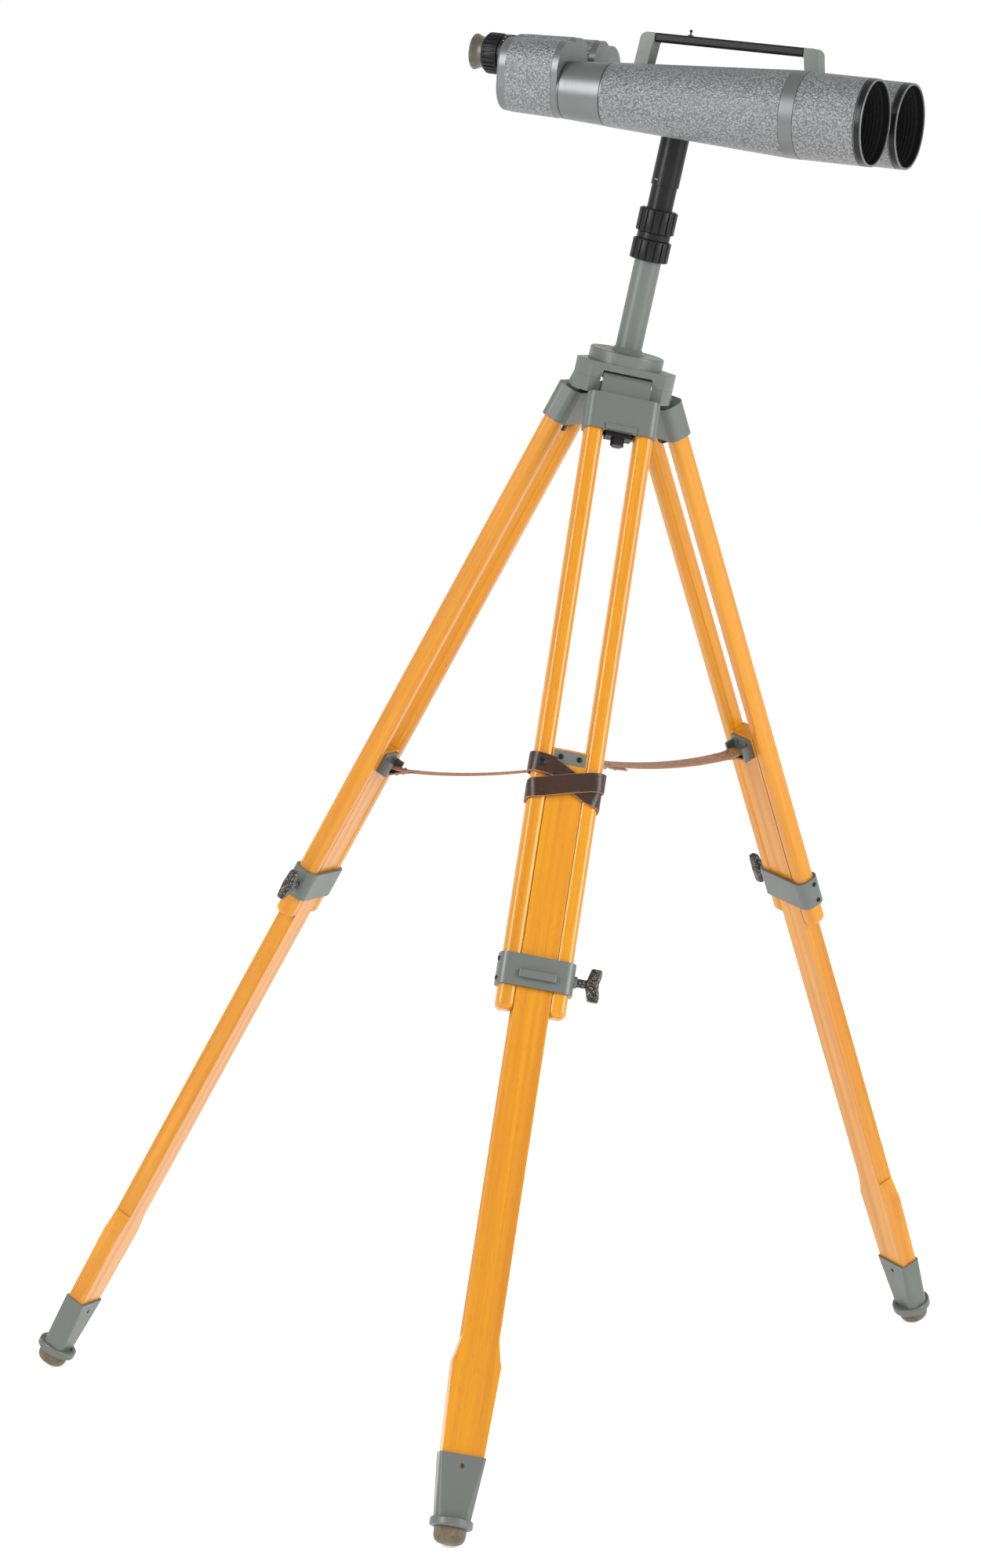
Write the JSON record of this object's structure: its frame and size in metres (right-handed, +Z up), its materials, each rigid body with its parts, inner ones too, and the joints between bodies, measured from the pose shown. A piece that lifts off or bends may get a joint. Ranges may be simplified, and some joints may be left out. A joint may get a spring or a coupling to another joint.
{
  "type": "observation binoculars on a tripod",
  "caption": "Large straight-through observation binoculars on a leaning column and a wooden tripod with telescoping legs, spreader straps and wing-screw clamps.",
  "frame": {"origin": "on the floor, under the middle of the object's overall box", "axes": "+Z up, +X level below the direction the lenses look, +Y to the observer's left"},
  "size_m": [0.989, 1.1716, 1.5329],
  "materials": {
    "black_metal": "satin",
    "black_plastic": "satin",
    "brown_leather": "waxed",
    "foot_rubber": "worn",
    "grey_paint": "satin",
    "lens_glass": "coated",
    "olive_rubber": "matt",
    "pebbled_grey": "pebbled",
    "prism_glass": "polished",
    "steel": "zinc plated",
    "tan_leather": "matt",
    "varnished_wood": "varnished"
  },
  "bodies": {
    "tripod_head": {"platform_plate": "grey_paint", "clamp_plate": "grey_paint", "hinge_pins": "steel", "stem": "grey_paint", "centre_bolt": "steel"},
    "lower_lock": {"lower_lock_ring": "black_metal"},
    "column": {"column_tube": "black_metal", "mount_sleeve": "black_metal"},
    "upper_lock": {"upper_lock_ring": "black_metal"},
    "binocular": {"centre_bridge": "grey_paint", "tilt_pin": "steel", "end_bridges": "grey_paint", "handle_brackets": "grey_paint", "handle_grip": "black_plastic", "front_sight": "black_metal", "left_objective_tube": "pebbled_grey", "left_dew_shield": "pebbled_grey", "left_objective_lens": "lens_glass", "right_objective_tube": "pebbled_grey", "right_dew_shield": "pebbled_grey", "right_objective_lens": "lens_glass"},
    "right_housing": {"right_prism_housing": "pebbled_grey", "right_prisms": "prism_glass", "right_eyepiece_barrel": "black_metal"},
    "right_focus": {"right_focus_ring": "black_plastic", "right_eyecup": "olive_rubber"},
    "left_housing": {"left_prism_housing": "pebbled_grey", "left_prisms": "prism_glass", "left_eyepiece_barrel": "black_metal"},
    "left_focus": {"left_focus_ring": "black_plastic", "left_eyecup": "olive_rubber"},
    "right_upper_leg": {"right_leg_socket": "grey_paint", "right_stiles": "varnished_wood", "right_clamp_band": "grey_paint", "binding_strap": "brown_leather"},
    "right_lower_leg": {"right_lower_board": "varnished_wood", "right_strap_bracket": "grey_paint", "right_ferrule": "grey_paint", "right_rubber_foot": "foot_rubber"},
    "right_clamp_screw": {"right_wing_screw": "black_metal"},
    "right_strap": {"right_spreader_strap": "tan_leather", "spreader_ring": "steel"},
    "rear_upper_leg": {"rear_leg_socket": "grey_paint", "rear_stiles": "varnished_wood", "rear_clamp_band": "grey_paint"},
    "rear_lower_leg": {"rear_lower_board": "varnished_wood", "rear_strap_bracket": "grey_paint", "rear_ferrule": "grey_paint", "rear_rubber_foot": "foot_rubber"},
    "rear_clamp_screw": {"rear_wing_screw": "black_metal"},
    "rear_strap": {"rear_spreader_strap": "tan_leather"},
    "left_upper_leg": {"left_leg_socket": "grey_paint", "left_stiles": "varnished_wood", "left_clamp_band": "grey_paint"},
    "left_lower_leg": {"left_lower_board": "varnished_wood", "left_strap_bracket": "grey_paint", "left_ferrule": "grey_paint", "left_rubber_foot": "foot_rubber"},
    "left_clamp_screw": {"left_wing_screw": "black_metal"},
    "left_strap": {"left_spreader_strap": "tan_leather"}
  },
  "joints": [
    {"name": "lower_lock_turn", "type": "hinge", "parent": "tripod_head", "child": "lower_lock", "pos_m": [0.21721, -0.03069, 1.28612], "axis": [0.2024, 0.0393, 0.9785], "range_deg": [-90, 0]},
    {"name": "column_pan", "type": "hinge", "parent": "tripod_head", "child": "column", "pos_m": [0.22172, -0.02981, 1.30794], "axis": [0.2024, 0.0393, 0.9785], "continuous": true},
    {"name": "upper_lock_turn", "type": "hinge", "parent": "column", "child": "upper_lock", "pos_m": [0.22338, -0.02949, 1.31597], "axis": [0.2024, 0.0393, 0.9785], "range_deg": [-90, 0]},
    {"name": "binocular_tilt", "type": "hinge", "parent": "column", "child": "binocular", "pos_m": [0.25226, -0.02387, 1.4556], "axis": [0.004, -0.9992, 0.0393], "range_deg": [-40, 35]},
    {"name": "right_eye_width", "type": "hinge", "parent": "binocular", "child": "right_housing", "pos_m": [0.1405, -0.07951, 1.46736], "axis": [0.9964, 0.0007, -0.0851], "range_deg": [-9, 6]},
    {"name": "right_focus_turn", "type": "hinge", "parent": "right_housing", "child": "right_focus", "pos_m": [0.05573, -0.05637, 1.50451], "axis": [0.9964, 0.0007, -0.0851], "range_deg": [-120, 120]},
    {"name": "left_eye_width", "type": "hinge", "parent": "binocular", "child": "left_housing", "pos_m": [0.14005, 0.03161, 1.46298], "axis": [0.9964, 0.0007, -0.0851], "range_deg": [-6, 9]},
    {"name": "left_focus_turn", "type": "hinge", "parent": "left_housing", "child": "left_focus", "pos_m": [0.05547, 0.01078, 1.50187], "axis": [0.9964, 0.0007, -0.0851], "range_deg": [-120, 120]},
    {"name": "right_leg_fold", "type": "hinge", "parent": "tripod_head", "child": "right_upper_leg", "pos_m": [0.20922, -0.06855, 1.15511], "axis": [0.8461, 0.4961, -0.195], "range_deg": [0, 23]},
    {"name": "right_leg_slide", "type": "slide", "parent": "right_upper_leg", "child": "right_lower_leg", "axis": [0.025, -0.4022, -0.9152], "range_m": [-0.332, 0]},
    {"name": "right_clamp_turn", "type": "hinge", "parent": "right_upper_leg", "child": "right_clamp_screw", "pos_m": [0.25739, -0.31501, 0.54468], "axis": [0.8461, 0.4961, -0.195], "range_deg": [0, 270]},
    {"name": "right_strap_swing", "type": "hinge", "parent": "right_lower_leg", "child": "right_strap", "pos_m": [0.20997, -0.22913, 0.74978], "axis": [0.8461, 0.4961, -0.195], "range_deg": [-103.7, 0]},
    {"name": "rear_leg_fold", "type": "hinge", "parent": "tripod_head", "child": "rear_upper_leg", "pos_m": [0.15371, -0.0357, 1.16528], "axis": [0.004, -0.9992, 0.0393], "range_deg": [0, 15.1]},
    {"name": "rear_leg_slide", "type": "slide", "parent": "rear_upper_leg", "child": "rear_lower_leg", "axis": [-0.4814, -0.0364, -0.8757], "range_m": [-0.399, 0.076]},
    {"name": "rear_clamp_turn", "type": "hinge", "parent": "rear_upper_leg", "child": "rear_clamp_screw", "pos_m": [-0.1634, -0.09718, 0.58964], "axis": [0.004, -0.9992, 0.0393], "range_deg": [0, 270]},
    {"name": "rear_strap_swing", "type": "hinge", "parent": "rear_lower_leg", "child": "rear_strap", "pos_m": [-0.0719, -0.05432, 0.71545], "axis": [0.004, -0.9992, 0.0393], "range_deg": [-117.8, 0]},
    {"name": "left_leg_fold", "type": "hinge", "parent": "tripod_head", "child": "left_upper_leg", "pos_m": [0.20896, -0.00331, 1.15254], "axis": [-0.8501, 0.5031, 0.1556], "range_deg": [0, 26]},
    {"name": "left_leg_slide", "type": "slide", "parent": "left_upper_leg", "child": "left_lower_leg", "axis": [0.1022, 0.4476, -0.8884], "range_m": [-0.33, 0.109]},
    {"name": "left_clamp_turn", "type": "hinge", "parent": "left_upper_leg", "child": "left_clamp_screw", "pos_m": [0.24446, 0.31051, 0.57294], "axis": [-0.8501, 0.5031, 0.1556], "range_deg": [0, 270]},
    {"name": "left_strap_swing", "type": "hinge", "parent": "left_lower_leg", "child": "left_strap", "pos_m": [0.24722, 0.1931, 0.72661], "axis": [-0.8501, 0.5031, 0.1556], "range_deg": [-112.9, 0]}
  ],
  "couplings": [
    {"joint": "left_eye_width", "follows": "right_eye_width", "ratio": -1},
    {"joint": "right_strap_swing", "follows": "right_leg_fold", "ratio": -4.502},
    {"joint": "rear_strap_swing", "follows": "rear_leg_fold", "ratio": -7.791},
    {"joint": "left_strap_swing", "follows": "left_leg_fold", "ratio": -4.338}
  ]
}
